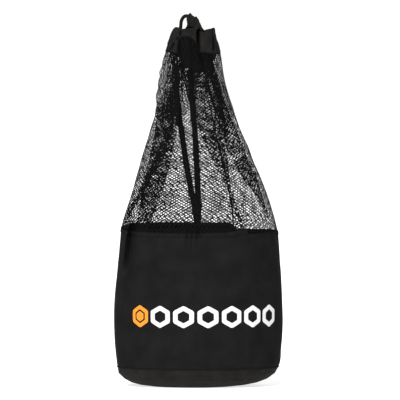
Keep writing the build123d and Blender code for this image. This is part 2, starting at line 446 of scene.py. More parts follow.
def grid_normals(grid):
    """Unit normals of a grid of points, outwards where columns run with rising angle."""
    return unit(np.cross(np.gradient(grid, axis=1), np.gradient(grid, axis=0)))


def sample(grid, u, v):
    """The grid's values at shares u and v, straight between its points."""
    u, v = np.broadcast_arrays(np.asarray(u, float), np.asarray(v, float))
    rows, columns = grid.shape[0] - 1, grid.shape[1] - 1
    x, y = np.clip(u, 0, 1) * columns, np.clip(v, 0, 1) * rows
    i, j = np.minimum(x.astype(int), columns - 1), np.minimum(y.astype(int), rows - 1)
    s, t = (x - i)[..., None], (y - j)[..., None]
    low = grid[j, i] * (1 - s) + grid[j, i + 1] * s
    high = grid[j + 1, i] * (1 - s) + grid[j + 1, i + 1] * s
    return low * (1 - t) + high * t


def add_object(name, data):
    """A new object in the scene."""
    made = bpy.data.objects.new(name, data)
    bpy.context.scene.collection.objects.link(made)
    return made


def make_mesh(name, points, faces, material, cloth):
    """A mesh object from points in millimetres and arrays of faces. cloth is each point's
    place on the flat cloth in millimetres, which the weave follows."""
    mesh = bpy.data.meshes.new(name)
    faces = [np.asarray(part) for part in (faces if isinstance(faces, list) else [faces])]
    sizes = np.concatenate([np.full(len(part), part.shape[1]) for part in faces])
    corners = np.concatenate([part.ravel() for part in faces])
    mesh.vertices.add(len(points))
    mesh.vertices.foreach_set("co", (np.asarray(points, float) * MM).ravel())
    mesh.loops.add(len(corners))
    mesh.loops.foreach_set("vertex_index", corners)
    mesh.polygons.add(len(sizes))
    mesh.polygons.foreach_set("loop_start", np.concatenate([[0], np.cumsum(sizes)[:-1]]))
    mesh.update(calc_edges=True)
    mesh.polygons.foreach_set("use_smooth", np.full(len(sizes), True))
    flat = np.zeros((len(points), 3))
    flat[:, :2] = cloth
    mesh.attributes.new("cloth", "FLOAT_VECTOR", "POINT").data.foreach_set("vector", flat.ravel())
    mesh.materials.append(material)
    return add_object(name, mesh)


def thicken(faces, count):
    """Closes an open shell: the same faces turned over, and a wall on every open edge."""
    edges = np.concatenate([faces[:, [k, (k + 1) % 4]] for k in range(4)])
    keys = edges[:, 0].astype(np.int64) * count + edges[:, 1]
    backwards = edges[:, 1].astype(np.int64) * count + edges[:, 0]
    rim = edges[~np.isin(keys, backwards)]
    walls = np.stack([rim[:, 1], rim[:, 0], rim[:, 0] + count, rim[:, 1] + count], axis=1)
    return np.concatenate([faces, faces[:, ::-1] + count, walls])


def strip_faces(low, high):
    """Four-sided faces between rows of point numbers, each corner beside the next column."""
    return np.stack(
        [low[..., :-1], low[..., 1:], high[..., 1:], high[..., :-1]], axis=-1
    ).reshape(-1, 4)


def ring_faces(index):
    """Four-sided faces between rings of point numbers, one ring in each row."""
    nxt = np.roll(index, -1, axis=-1)
    return np.stack(
        [index[..., :-1, :], index[..., 1:, :], nxt[..., 1:, :], nxt[..., :-1, :]], axis=-1
    ).reshape(-1, 4)


def run_along(line):
    """The length from a line's start to each of its points."""
    return running(length(np.diff(line, axis=0)))


def flat_cloth(grid):
    """Each grid point's place on the cloth laid flat, from the mean steps of the grid."""
    run = length(np.diff(grid, axis=1)).mean(0)
    rise = length(np.diff(grid, axis=0)).mean(1)
    return np.stack(np.meshgrid(running(run), running(rise)), axis=-1)


def twice(*arrays):
    """Arrays one after the other, as rows of points; a single one is repeated."""
    arrays = arrays if len(arrays) > 1 else arrays * 2
    return np.concatenate([array.reshape(-1, array.shape[-1]) for array in arrays])


def cloth_piece(name, grid, thickness, material, edge=0.5):
    """A closed cloth of that thickness on a grid of points, thinner at its edges."""
    rows, columns = grid.shape[:2]
    normal = grid_normals(grid)
    half = np.full((rows, columns, 1), thickness / 2)
    half[[0, -1]] *= edge
    half[:, [0, -1]] *= edge
    points = twice(grid + normal * half, grid - normal * half)
    index = np.arange(rows * columns).reshape(rows, columns)
    faces = thicken(strip_faces(index[:-1], index[1:]), rows * columns)
    return make_mesh(name, points, faces, material, twice(flat_cloth(grid)))


def tube_piece(name, path, wide, thick, material, up, sides=14, twist=0.0, closed=True):
    """A tube with an oval section along a line of points, which meets itself or is closed by
    a tip at each end. up is the flat side's normal, and the section turns once every twist
    millimetres."""
    along = np.gradient(path, axis=0)
    if closed:
        along = np.roll(path, -1, axis=0) - np.roll(path, 1, axis=0)
    along = unit(along)
    side = unit(np.cross(along, np.broadcast_to(up, path.shape)))
    top = np.cross(side, along)
    run = run_along(path)
    turn = (run * 2 * math.pi / twist if twist else run * 0)[:, None]
    angle = np.linspace(0, 2 * math.pi, sides, endpoint=False)[None]
    x, y = wide / 2 * np.cos(angle), thick / 2 * np.sin(angle)
    across = x * np.cos(turn) - y * np.sin(turn)
    rise = x * np.sin(turn) + y * np.cos(turn)
    rings = path[:, None] + across[..., None] * side[:, None] + rise[..., None] * top[:, None]
    points = rings.reshape(-1, 3)
    cloth = np.stack([np.tile(angle[0] * wide / 2, len(path)), np.repeat(run, sides)], -1)
    index = np.arange(len(points)).reshape(len(path), sides)
    if closed:
        faces = ring_faces(np.concatenate([index, index[:1]]))
        return make_mesh(name, points, faces, material, cloth)
    tip = np.full(sides, len(points))
    low = np.stack([index[0], np.roll(index[0], -1), tip], -1)
    high = np.stack([np.roll(index[-1], -1), index[-1], tip + 1], -1)
    points = np.concatenate([points, path[[0, -1]]])
    cloth = np.concatenate([cloth, np.stack([[0, 0], run[[0, -1]]], -1)])
    return make_mesh(name, points, [ring_faces(index), low, high], material, cloth)


def route_line(points):
    """The smooth line of a route: points read from its NURBS spline, in millimetres."""
    curve = bpy.data.curves.new("route", "CURVE")
    curve.dimensions = "3D"
    curve.resolution_u = 10
    spline = curve.splines.new("NURBS")
    spline.points.add(len(points) - 1)
    for control, place in zip(spline.points, points):
        control.co = (*(x * MM for x in place), 1.0)
    spline.order_u = 3
    spline.use_endpoint_u = True
    carrier = add_object("route", curve)
    mesh = bpy.data.meshes.new_from_object(carrier)
    line = np.array([v.co[:] for v in mesh.vertices]) / MM
    bpy.data.objects.remove(carrier)
    bpy.data.curves.remove(curve)
    bpy.data.meshes.remove(mesh)
    return line


def outside(angle, height):
    """Points on the bag's outside below the rim, at one height on the axis."""
    a, b, cx, tilt = smooth_table(STATIONS, height)
    y = b * np.sin(angle)
    return np.stack([cx + a * np.cos(angle), y, height + y * np.tan(np.radians(tilt))], -1)


def back_y(x, height):
    """The y of the bag's outside at the back, beside that x and height, by repeated guesses
    at the height on the axis."""
    y = 0.0
    for _ in range(8):
        tilt = smooth_table(STATIONS, height)[3]
        a, b, cx, _ = smooth_table(STATIONS, height - y * math.tan(math.radians(tilt)))
        y = b * math.sqrt(max(0.0, 1 - ((x - cx) / a) ** 2))
    return y


class Paint:
    """A material and its nodes, which follow each point's place on the flat cloth."""

    def __init__(self, name, values):
        self.material = bpy.data.materials.new(name)
        self.material.use_nodes = True
        self.tree = self.material.node_tree
        self.shader = self.tree.nodes["Principled BSDF"]
        self.fill(self.shader, values)

    def fill(self, node, values, feeds=()):
        """Sets numbers on a node's inputs, and feeds others from the outputs of nodes."""
        for socket, value in values.items():
            node.inputs[socket].default_value = value
        for socket, output in dict(feeds).items():
            self.tree.links.new(output, node.inputs[socket])
        return node.outputs

    def node(self, kind, values, feeds=()):
        return self.fill(self.tree.nodes.new("ShaderNode" + kind), values, feeds)

    def noise(self, place, scale, detail, distortion=0.0):
        values = {"Scale": scale, "Detail": detail, "Distortion": distortion}
        return self.node("TexNoise", values, {"Vector": place})["Fac"]

    def ramp(self, output, low, high):
        """Blends from one position and colour to another."""
        ramp = self.tree.nodes.new("ShaderNodeValToRGB")
        for element, (position, colour) in zip(ramp.color_ramp.elements, (low, high)):
            element.position = position
            element.color = (*colour, 1)
        return self.fill(ramp, {}, {"Fac": output})["Color"]

    def spread(self, output, middle, reach):
        values = {"To Min": middle - reach, "To Max": middle + reach}
        return self.node("MapRange", values, {"Value": output})["Result"]

    def bump(self, output, strength, distance, **under):
        """A bump, on top of another one if Normal names it."""
        values = {"Strength": strength, "Distance": distance}
        return self.node("Bump", values, {"Height": output, **under})["Normal"]

    def place(self):
        place = self.tree.nodes.new("ShaderNodeAttribute")
        place.attribute_name = "cloth"
        return place.outputs["Vector"]

    def finish(self, **feeds):
        """Feeds the shader's inputs. An input's name has _ for its space."""
        self.fill(self.shader, {}, {name.replace("_", " "): out for name, out in feeds.items()})
        return self.material


def grey(value):
    return (value, value, value)


def woven(name, colour, patch, roughness, sheen, specular, period, depth, crease=0.0):
    """Woven cloth: threads over and under each other, soft patches of wear, a dull sheen."""
    paint = Paint(name, {
        "Sheen Weight": sheen, "Sheen Roughness": 0.5, "Specular IOR Level": specular,
    })
    place = paint.place()
    waves = []
    for direction in ("X", "Y"):
        wave = paint.tree.nodes.new("ShaderNodeTexWave")
        wave.bands_direction = direction
        values = {"Scale": math.pi / 10 / period, "Distortion": 0.35, "Detail Scale": 2.0}
        waves.append(paint.fill(wave, values, {"Vector": place})["Fac"])
    both = paint.tree.nodes.new("ShaderNodeMath")
    both.operation = "MULTIPLY"
    weave = paint.fill(both, {}, enumerate(waves))[0]
    cloud = paint.noise(place, 0.022, 5.0)
    thread = paint.tree.nodes.new("ShaderNodeMix")
    thread.data_type = "RGBA"
    thread.blend_type = "MULTIPLY"
    worn, fresh = ([c * share for c in colour] for share in (1 - patch, 1 + patch))
    colour = paint.fill(thread, {"Factor": 0.45}, {
        "A": paint.ramp(cloud, (0.32, worn), (0.70, fresh)),
        "B": paint.ramp(weave, (0.0, grey(0.45)), (1.0, grey(1.25))),
    })["Result"]
    under = {}
    if crease:
        under["Normal"] = paint.bump(paint.noise(place, 0.035, 3.0, 0.6), crease, 0.004)
    return paint.finish(
        Base_Color=colour, Roughness=paint.spread(cloud, roughness, 0.07),
        Normal=paint.bump(weave, depth, 0.0004, **under),
    )


def yarn(name, colour, roughness, sheen, specular, scale):
    """Knitted or twisted yarn of one colour, with its fibres as a fine bump."""
    paint = Paint(name, {
        "Base Color": (*colour, 1), "Sheen Weight": sheen, "Specular IOR Level": specular,
    })
    fibre = paint.noise(paint.place(), scale, 2.0)
    return paint.finish(
        Roughness=paint.spread(fibre, roughness, 0.12), Normal=paint.bump(fibre, 0.6, 0.0003)
    )


def film(name, colour, dark):
    """A printed film on woven cloth: slightly uneven ink, with the weave showing through."""
    paint = Paint(name, {"Roughness": 0.55, "Specular IOR Level": 0.3})
    grain = paint.noise(paint.place(), 0.9, 4.0)
    return paint.finish(
        Base_Color=paint.ramp(grain, (0.25, dark), (0.5, colour)),
        Normal=paint.bump(grain, 0.25, 0.0003),
    )


# The values after each colour are in the order of the function's arguments.
body_cloth = woven("body_cloth", (0.0096, 0.0096, 0.0099), 0.2, 0.8, 0.004, 0.015, 1.5, 0.35, 0.25)
# The base cloth is lighter and warmer than the body cloth: its own dark colour, plus painted light
# standing in for the floor's light bouncing onto the base.
base_cloth = woven("base_cloth", (0.0134, 0.0125, 0.0115), 0.3, 0.75, 0.006, 0.03, 1.5, 0.35, 0.5)
hem_cloth = woven("hem_cloth", (0.0128, 0.0123, 0.0116), 0.25, 0.75, 0.006, 0.03, 1.1, 0.4, 0.4)
binding_tape = woven("binding_tape", (0.0092, 0.0092, 0.0095), 0.2, 0.8, 0.003, 0.02, 1.2, 0.5)
webbing_weave = woven("webbing_weave", (0.0058, 0.0055, 0.0055), 0.2, 0.7, 0.005, 0.05, 2.0, 0.8)
net_yarn = yarn("net_yarn", (0.0044, 0.0044, 0.0046), 0.75, 0.0, 0.04, 1.4)
cord_yarn = yarn("cord_yarn", (0.0052, 0.0050, 0.0050), 0.7, 0.02, 0.1, 0.9)
thread_yarn = yarn("thread_yarn", grey(0.0085), 0.7, 0.01, 0.05, 2.5)
white_film = film("white_film", grey(0.60), grey(0.51))
accent_film = film("accent_film", (0.70, 0.225, 0.014), (0.60, 0.19, 0.012))

scene = bpy.context.scene

# Camera: almost level, from the front, through a long lens.
CAMERA_DISTANCE = 15.0
CAMERA_RISE = math.radians(1.5)
LOOK_AT = (0.004, 0.0, 0.465)
lens = bpy.data.cameras.new("camera")
lens.lens = 540.0
lens.sensor_width = 36.0
lens.clip_end = 200.0
camera = add_object("camera", lens)
x, y, z = LOOK_AT
ahead, above = CAMERA_DISTANCE * math.cos(CAMERA_RISE), CAMERA_DISTANCE * math.sin(CAMERA_RISE)
camera.location = (x, y - ahead, z + above)
camera.rotation_euler = (math.pi / 2 - CAMERA_RISE, 0.0, 0.0)
scene.camera = camera

# The cords: the loop at the top, and the two strap legs down the back.
LOOP_ROUTE = [
    (-44.5, 888.7), (-44, 903), (-42, 916), (-34, 925.5), (-22, 924), (-12.5, 912), (-10, 901),
    (-10, 888.7),
]
LEFT_LEG_ROUTE = [
    (-54, 800), (-55, 745), (-51, 690), (-43, 638), (-35, 585), (-27, 530), (-18, 484),
    (-8.5, 440), (-4, 404), (-3, 375), (-3, 349),
]
RIGHT_LEG_ROUTE = [
    (-18, 798), (-18.5, 745), (-14, 695), (-8.5, 638), (-6.5, 588), (-4, 545), (-2, 510),
    (-1, 478), (0, 440), (0, 404), (0, 375), (0, 345),
]
WEBBING_CLEARANCE = 3.2
PRESSED_IN = 0.8
CROSSING_STEP = 1.9
CROSSING_HEIGHT = 492.0


def belong(piece, body, node):
    """Says which body a piece rides on, which CAD node it replaces."""
    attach(piece, body)
    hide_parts(node)


loop_line = route_line([(x, -25.0 - 6.5 * (x + 44.0) / 34.0, z) for x, z in LOOP_ROUTE])
top_loop = tube_piece(
    "top_loop_cord", loop_line, LOOP_WIDTH, LOOP_THICKNESS, cord_yarn, (0.19, 0.98, 0.0),
    sides=16, twist=LOOP_TWIST, closed=False,
)
belong(top_loop, "loop", "top_loop")


def strap_leg(name, node, route, step):
    """One leg of flat webbing down the back. step lifts it where it lies over the other."""
    points = []
    for x, z in route:
        near = 1.0 - ease((z - 372.0) / 60.0)
        clear = WEBBING_CLEARANCE - PRESSED_IN * near + (step if z < CROSSING_HEIGHT else 0.0)
        points.append((x, back_y(x, z) + clear + WEBBING_THICKNESS / 2, z))
    line = route_line(points)
    reach = WEBBING_WIDTH / 4
    yaw = np.array([
        math.atan2(back_y(x + reach, z) - back_y(x - reach, z), 2 * reach) for x, _, z in line
    ])
    side = np.stack([np.cos(yaw), np.sin(yaw), 0 * yaw], -1)
    across = np.array([-7.0, -6.5, -5.0, -2.5, 0.0, 2.5, 5.0, 6.5, 7.0]) / 7.0
    sway = 0.5 * np.sin(run_along(line) / 41.0)[:, None] * across[None]
    grid = line[:, None] + side[:, None] * (across * WEBBING_WIDTH / 2)[None, :, None]
    grid = grid + grid_normals(grid) * sway[..., None]
    piece = cloth_piece(name, grid[::-1], WEBBING_THICKNESS, webbing_weave, edge=0.45)
    belong(piece, "bag", node)


strap_leg("strap_left_webbing", "strap_left_leg", LEFT_LEG_ROUTE, 0.0)
strap_leg("strap_right_webbing", "strap_right_leg", RIGHT_LEG_ROUTE, CROSSING_STEP)


# The net: rhombic holes in staggered rows, mapped onto the pleated sleeve.
sleeve = sleeve_grid(*SLEEVE_GRID)
sleeve_normal = grid_normals(sleeve)
sleeve_rise = length(np.diff(sleeve, axis=0)).sum(0).mean()
hole_rows = int(round(2 * sleeve_rise / NET_CELL_HEIGHT)) - 1
# The lattice leans a little against the sleeve, as the cloth was cut, and its holes stray.
NET_LEAN = -0.020
NET_SLOPE = 0.15
NET_STRAY = 0.06
SPARE_COLUMNS = 8
SPARE_ROWS = 12
OPEN_LIMITS = (0.2, 0.74)
# How much wider the holes are in a pleat where the net is drawn open, and how much more
# above OPEN_HEIGHT.
OPEN_PLEATS = ((RIGHT_OUTER, 0.10, 0.02), (RIGHT_INNER, 0.02, 0.12), (LEFT_BAND, 0.06, 0.02))
OPEN_HEIGHT = 600.0


def pulled_open(u, v):
    """How many times wider the holes are because of the large pleats."""
    levels = np.linspace(0, 1, 40)
    sections = [Section(SLEEVE_LOW + (SLEEVE_HIGH - SLEEVE_LOW) * level) for level in levels]
    high = ease((SLEEVE_LOW + (SLEEVE_HIGH - SLEEVE_LOW) * v - OPEN_HEIGHT) / 55.0)
    wider = np.ones_like(u)
    for pleat, share, more in OPEN_PLEATS:
        folded = [pair for pair in zip(levels, sections) if pleat in pair[1].turns]
        known = np.array([(level, *section.turns[pleat]) for level, section in folded])
        turn_out = np.interp(v, known[:, 0], known[:, 1])
        turn_in = np.interp(v, known[:, 0], known[:, 2])
        middle, span = (turn_out + turn_in) / 2, turn_in - turn_out
        inside = ease((1.4 * span + 0.001 - np.abs(u - middle)) / 0.003) * ease(span / 0.012)
        wider = wider + (share + more * high) * inside
    return wider


def net_holes():
    """Shares u and v of the four corners of each hole: left, right, top and bottom."""
    row, column = np.meshgrid(
        np.arange(-SPARE_ROWS, hole_rows + SPARE_ROWS + 2),
        np.arange(-SPARE_COLUMNS, NET_COLUMNS + SPARE_COLUMNS), indexing="ij",
    )
    du, dv = 0.5 / NET_COLUMNS, 1.0 / (hole_rows + 2.0)
    v = (row + 0.5) * dv
    u = (column + 0.5 + 0.5 * (row % 2)) * 2 * du + NET_LEAN * (v - 0.5)
    v = v + NET_SLOPE * (u - 0.5)
    stray = np.random.default_rng(51).uniform(-NET_STRAY, NET_STRAY, (2, *u.shape))
    u, v = u + 2 * du * stray[0], v + 2 * dv * stray[1]
    width = length(sample(sleeve, u + du, v) - sample(sleeve, u - du, v))
    height = length(sample(sleeve, u, v + dv) - sample(sleeve, u, v - dv))
    spacing = width * height / np.maximum(np.hypot(width, height), 0.1)
    open_share = np.clip(1.0 - NET_STRAND / np.maximum(spacing, 0.1), *OPEN_LIMITS)
    open_share = open_share * pulled_open(u, v)
    corner_u = np.stack([u - du * open_share, u + du * open_share, u, u], -1)
    corner_v = np.stack([v, v, v + dv * open_share, v - dv * open_share], -1)
    return u, corner_u, corner_v


def net_pieces():
    """The yarn between the holes: a strand across each gap, and a knot where four meet."""
    u, corner_u, corner_v = net_holes()
    index = np.arange(u.size * 4).reshape(*u.shape, 4)
    left, right, top, bottom = np.moveaxis(index, -1, 0)
    rows, columns = u.shape
    i = np.arange(1, columns - 1)
    quads, owner = [], []
    for j in range(rows - 1):
        up_right, up_left = i + (j % 2), i - 1 + (j % 2)
        parts = [
            (right[j, i], bottom[j + 1, up_right], left[j + 1, up_right], top[j, i]),
            (top[j, i], right[j + 1, up_left], bottom[j + 1, up_left], left[j, i]),
        ]
        if j + 2 < rows:
            knot = (top[j, i], left[j + 1, up_right], bottom[j + 2, i], right[j + 1, up_left])
            parts.append(knot)
        quads += [np.stack(part, -1) for part in parts]
        owner += [u[j, i]] * len(parts)
    quads, owner = np.concatenate(quads), np.concatenate(owner)
    corner_u, corner_v = corner_u.reshape(-1), corner_v.reshape(-1)
    on_sleeve = (corner_u > 0) & (corner_u < 1) & (corner_v > 0) & (corner_v < 1)
    inside = on_sleeve[quads].all(axis=1)
    quads, owner = quads[inside], owner[inside]
    points = sample(sleeve, corner_u, corner_v)
    normal = unit(sample(sleeve_normal, corner_u, corner_v))
    flat = np.stack([corner_u * NET_COLUMNS * NET_CELL_WIDTH, corner_v * sleeve_rise], -1)
    pieces = []
    for k in range(NET_PIECES):
        mine = quads[(owner > k / NET_PIECES) & (owner <= (k + 1) / NET_PIECES)]
        used, faces = np.unique(mine, return_inverse=True)
        half = normal[used] * NET_THICKNESS / 2
        piece = make_mesh(
            f"net_panel_{k + 1}",
            twice(points[used] + half, points[used] - half),
            thicken(faces.reshape(-1, 4), len(used)),
            net_yarn,
            twice(flat[used]),
        )
        belong(piece, "bag", "net_sleeve")
        pieces.append(piece)
    return pieces


nets = net_pieces()


def folded_double(middle, half, top):
    """A cloth folded double along a middle surface, its fold over the last row: the outer
    layer, and the whole cloth from the outer layer over the fold to the inner one. half is
    half the space between the layers by row, and top is the way over the fold."""
    normal = grid_normals(middle)
    reach = normal * half[:, None, None]
    over = [
        middle[-1] + half[-1] * (math.cos(turn) * normal[-1] + math.sin(turn) * top)
        for turn in np.linspace(0, math.pi, FOLD_STEPS)[1:-1]
    ]
    outer, inner = middle + reach, middle - reach
    return outer, np.concatenate([outer, np.array(over), inner[::-1]])


# The casing: one cloth folded double round the mouth, its fold upwards.
def casing_middle(columns, rows):
    u = np.linspace(0, 1, columns + 1)
    grid = []
    for v in np.linspace(0, 1, rows + 1):
        section = Section(HEM_BOTTOM + HEM_LENGTH * v)
        angle, _, low, offset, v = casing_level(section, u)
        point = section.point(angle, offset)
        point[:, 1] += casing_groove(point[:, 0], angle, v)
        high = high_lift(section, angle, offset)
        point[:, 2] += low * (1 - v) + high * v + v * 1.2 * ripple(u, 0.0, 22, 18, 1.0)
        grid.append(point)
    return np.array(grid)


casing = casing_middle(*CASING_GRID)
share = np.linspace(0, 1, len(casing))
casing_half = 0.9 + 1.5 * ease((share - 0.55) / 0.25) * (1 - 0.4 * ease((share - 0.9) / 0.1))
casing_top = 0.8 * unit(np.gradient(casing, axis=0)[-1])
casing_outer, casing_fold = folded_double(casing, casing_half, casing_top)
hem = cloth_piece("hem_casing_cloth", casing_fold, HEM_LAYER, hem_cloth)
belong(hem, "bag", "hem_casing")

# The puckered fold of the casing that the loop pulls up over the front: its top and bottom
# edges as a share of the way across, x and z.
PEAK_TOP = np.array([
    (0, -29, 914), (0.12, -27.5, 921), (0.28, -22.5, 930), (0.36, -19.5, 930.5),
    (0.48, -13.5, 923.5), (0.58, -9, 921), (0.7, -5, 922), (0.84, 0.5, 913.5), (0.93, 2, 907),
    (1, 6.5, 899),
])
PEAK_LOW = np.array([
    (0, -33.5, 893), (0.25, -24, 891.5), (0.5, -14, 891), (0.75, -3, 893), (1, 9, 890),
])
PEAK_FRONT = -23.0


def peak_grid(columns, rows):
    s = np.linspace(0, 1, columns + 1)
    low, high = (
        np.stack([np.interp(s, edge[:, 0], edge[:, k]) for k in (1, 2)], -1)
        for edge in (PEAK_LOW, PEAK_TOP)
    )
    grid = []
    for t in np.linspace(0, 1, rows + 1):
        place = low + (high - low) * t
        place[:, 0] += 4.0 * math.sin(math.pi * t) * (1 - s) ** 3
        spread = 0.35 + 0.65 * t ** 0.8
        pucker = 2.6 * np.sin(2 * math.pi * (3.2 * s + 0.12) + 1.4 * t) * spread
        pucker += 1.1 * np.sin(2 * math.pi * (7.3 * s + 0.4) - 2.0 * t)
        y = PEAK_FRONT - 18.0 * ease(t / 0.24) + 7.0 * ease((t - 0.4) / 0.6)
        y = y + pucker * math.sin(math.pi * (0.12 + 0.7 * t))
        grid.append(np.stack([place[:, 0], y, place[:, 1]], -1))
    return np.array(grid)


peak_middle = peak_grid(*PEAK_GRID)
peak_half = 0.5 + 1.0 * ease((np.linspace(0, 1, len(peak_middle)) - 0.2) / 0.6)
peak_fold = folded_double(peak_middle, peak_half, np.array([0.0, 0.0, 1.0]))[1]
peak = cloth_piece("hem_peak_cloth", peak_fold, HEM_LAYER, hem_cloth)
belong(peak, "bag", "hem_peak")


# The body wrap, from the piping up to the rim, with its two edges at the back seam. The rim's
# wave starts at this height.
WAVE_START = 250.0


def body_share(height):
    return (np.asarray(height, float) - BASE_SEAM) / (RIM - BASE_SEAM)


def body_folds(u, v):
    """How far the cloth stands off its plain shape: waves, and puckers at the two seams."""
    loose = 1.5 * ripple(u, 2.5 * v, 11, 8, 2.0) + 0.45 * ripple(u, 5.0 * v, 12, 34, 4.0)
    rim = 0.8 * ripple(u, 2.0 * v, 13, 60, 3.0) * ease((v - 0.86) / 0.14)
    foot = 0.7 * ripple(u, 2.0 * v, 14, 46, 3.0) * ease((0.16 - v) / 0.16)
    ends = ease(v / 0.04) * 0.8 + 0.2
    flat = ease((u + 0.001) / 0.01) * ease((1.001 - u) / 0.01)
    return (loose * ends + rim + foot) * flat


def body_grid(columns, rows):
    u = np.linspace(0, 1, columns + 1)
    angle = np.radians(SEAM_ANGLE) + 2 * math.pi * u
    grid = []
    for height in np.linspace(BASE_SEAM, RIM, rows + 1):
        point = outside(angle, height)
        v = body_share(height)
        fold = body_folds(u, v)
        point += np.stack([np.cos(angle), np.sin(angle), 0 * angle], -1) * fold[:, None]
        groove, puckers = rim_groove(angle)
        point[:, 1] += groove * ease((v - 0.56) / 0.30) + puckers * ease((v - 0.86) / 0.13)
        point[:, 2] += rim_lift(angle) * ease((height - WAVE_START) / (RIM - WAVE_START))
        grid.append(point)
    return np.array(grid)


body = body_grid(*BODY_GRID)
body_normal = grid_normals(body)
wrap = cloth_piece("body_wrap_cloth", body - body_normal * BODY_CLOTH / 2, BODY_CLOTH, body_cloth)
belong(wrap, "bag", "body_wrap")


def share_of(angle_degrees):
    """The share of the way round from the back seam."""
    return ((np.asarray(angle_degrees, float) - SEAM_ANGLE) % 360.0) / 360.0


def on_body(u, height, off):
    """Points on the body's outside, lifted off it."""
    v = body_share(height)
    return sample(body, u, v) + sample(body_normal, u, v) * off


# The base: one panel drawn up to the piping all round, with soft puckers. These are the
# height of its middle, and the least height of its cloth's middle layer.
BASE_MIDDLE = 0.9
BASE_LEAST = 0.65


def base_grid(count):
    side = np.linspace(-1, 1, count)
    x, y = np.meshgrid(side, side)
    reach = np.maximum(np.abs(x), np.abs(y))
    angle = np.arctan2(y, x)
    stations = STATIONS[:BASE_STATIONS]
    steps = np.hypot(np.diff(stations[:, 0]), np.diff(stations[:, 1]))
    run = np.concatenate([[0], running(steps) + stations[0, 1]])
    centre = (BASE_MIDDLE, 0.0, 0.0, stations[0, 3])
    height, a, b, shift = (
        np.interp(reach * run[-1], run, np.concatenate([[first], stations[:, k]]))
        for k, first in enumerate(centre)
    )
    u = share_of(np.degrees(angle))
    near = ease((reach - 0.55) / 0.4)
    fold = near * (1.3 * ripple(u, reach * 2.0, 31, 44, 3.0) + 1.6 * ripple(u, reach, 32, 16, 3.0))
    fold *= ease((1.0 - reach) / 0.08) * 0.85 + 0.15
    grid = np.stack(
        [shift + (a + fold) * np.cos(angle), (b + fold) * np.sin(angle), height], axis=-1
    )
    grid[..., 2] += (1 - near) * 0.35 * (1 + ripple(x * 0.6, y * 1.5, 33, 3, 3.0))
    grid[..., 2] = np.maximum(grid[..., 2], BASE_LEAST)
    return grid


base = cloth_piece("base_panel_cloth", base_grid(BASE_GRID)[:, ::-1], BODY_CLOTH, base_cloth)
belong(base, "bag", "base_panel")

ring_u = np.linspace(0, 1, 900, endpoint=False)
piping = tube_piece(
    "base_piping_cord", on_body(ring_u, BASE_SEAM + 0.6, 0.5), PIPING_WIDTH, PIPING_WIDTH,
    binding_tape, (0.0, 0.0, 1.0),
)
belong(piping, "bag", "base_piping")


# The rim's binding: a tape folded over the edge where net and body meet. Its section runs from
# outside over the edge to inside: how far each row stands above the edge and off the cloth.
BINDING_SECTION = (
    (-9.5, 0.15), (-6.0, 0.7), (-2.0, 0.95), (0.6, 1.0), (1.7, 0.5), (2.0, -0.6),
    (1.7, -1.9), (0.6, -2.6), (-2.0, -4.0), (-6.0, -4.0), (-9.5, -3.8),
)


def binding_grid(columns):
    u = np.linspace(0, 1, columns + 1)
    rows = []
    for above, off in BINDING_SECTION:
        rows.append(on_body(u, RIM + min(above, 0.0), off))
        rows[-1][:, 2] += max(above, 0.0)
    return np.array(rows)


binding = cloth_piece(
    "rim_binding_tape", binding_grid(BODY_GRID[0]), BINDING_THICKNESS, binding_tape
)
belong(binding, "bag", "rim_binding")


def seam_tape(name, node, grid, normal, low, high, half_width, off):
    """A tape down the back seam, over both edges of the cloth."""
    width = length(grid[:, 1] - grid[:, 0]).mean()
    x, v = np.meshgrid(np.linspace(-half_width, half_width, 7), np.linspace(low, high, 120))
    u = x / width / (grid.shape[1] - 1)
    u = np.where(u >= 0, u, 1 + u)
    lift = off * (1 - 0.15 * np.abs(x) / half_width)
    middle = sample(grid, u, v) + sample(normal, u, v) * lift[..., None]
    tape = cloth_piece(name, middle, TAPE_THICKNESS, binding_tape)
    belong(tape, "bag", node)
    return tape


body_tape = seam_tape("body_seam_tape", "body_back_seam", body, body_normal, 0.01, 0.965, 5.5, 1.0)
net_tape = seam_tape("net_seam_tape", "net_back_seam", sleeve, sleeve_normal, 0.0, 0.985, 2.4, 0.7)


# Stitches: each one a short thread that dips into the cloth at both ends. These are the lift
# and the radius at the places along it.
STITCH_LIFT = np.array([-0.35, 0.15, 0.3, 0.15, -0.35])
STITCH_RADIUS = np.array([0.22, 0.40, 0.44, 0.40, 0.22])
STITCH_PLACES = len(STITCH_LIFT)
STITCH_SIDES = 6
STITCH_SHARE = 0.66


def stitches(name, node, lines):
    """lines has a place and a normal for each point of each stitch, as (n, 5, 2, 3)."""
    place, normal = lines[:, :, 0], lines[:, :, 1]
    side = unit(np.cross(unit(np.gradient(place, axis=1)), normal))
    angle = np.linspace(0, 2 * math.pi, STITCH_SIDES, endpoint=False)[None, None, :, None]
    middle = (place + normal * STITCH_LIFT[None, :, None])[:, :, None]
    rings = middle + STITCH_RADIUS[None, :, None, None] * (
        np.cos(angle) * side[:, :, None] + np.sin(angle) * normal[:, :, None]
    )
    index = np.arange(rings.size // 3).reshape(rings.shape[:3])
    first, last = index[:, 0], index[:, -1]
    ends = [
        first[:, [0, 1, 2, 3]], first[:, [0, 3, 4, 5]],
        last[:, [3, 2, 1, 0]], last[:, [5, 4, 3, 0]],
    ]
    cloth = np.zeros((index.size, 2))
    cloth[:, 0] = np.arange(index.size) % 97
    thread = make_mesh(
        name, rings.reshape(-1, 3), [ring_faces(index), np.concatenate(ends)], thread_yarn, cloth
    )
    belong(thread, "bag", node)
    return thread


def stitch_line(surface, normal, v, off, pitch):
    """Stitches along one level of a surface given as a grid."""
    level = sample(surface, np.linspace(0, 1, 800), v)
    count = int(length(np.diff(level, axis=0)).sum() / pitch)
    start = (np.arange(count) + 0.2) / count
    u = start[:, None] + np.linspace(0, STITCH_SHARE, STITCH_PLACES)[None] / count
    facing = sample(normal, u, v)
    return np.stack([sample(surface, u, v) + facing * off, facing], axis=2)


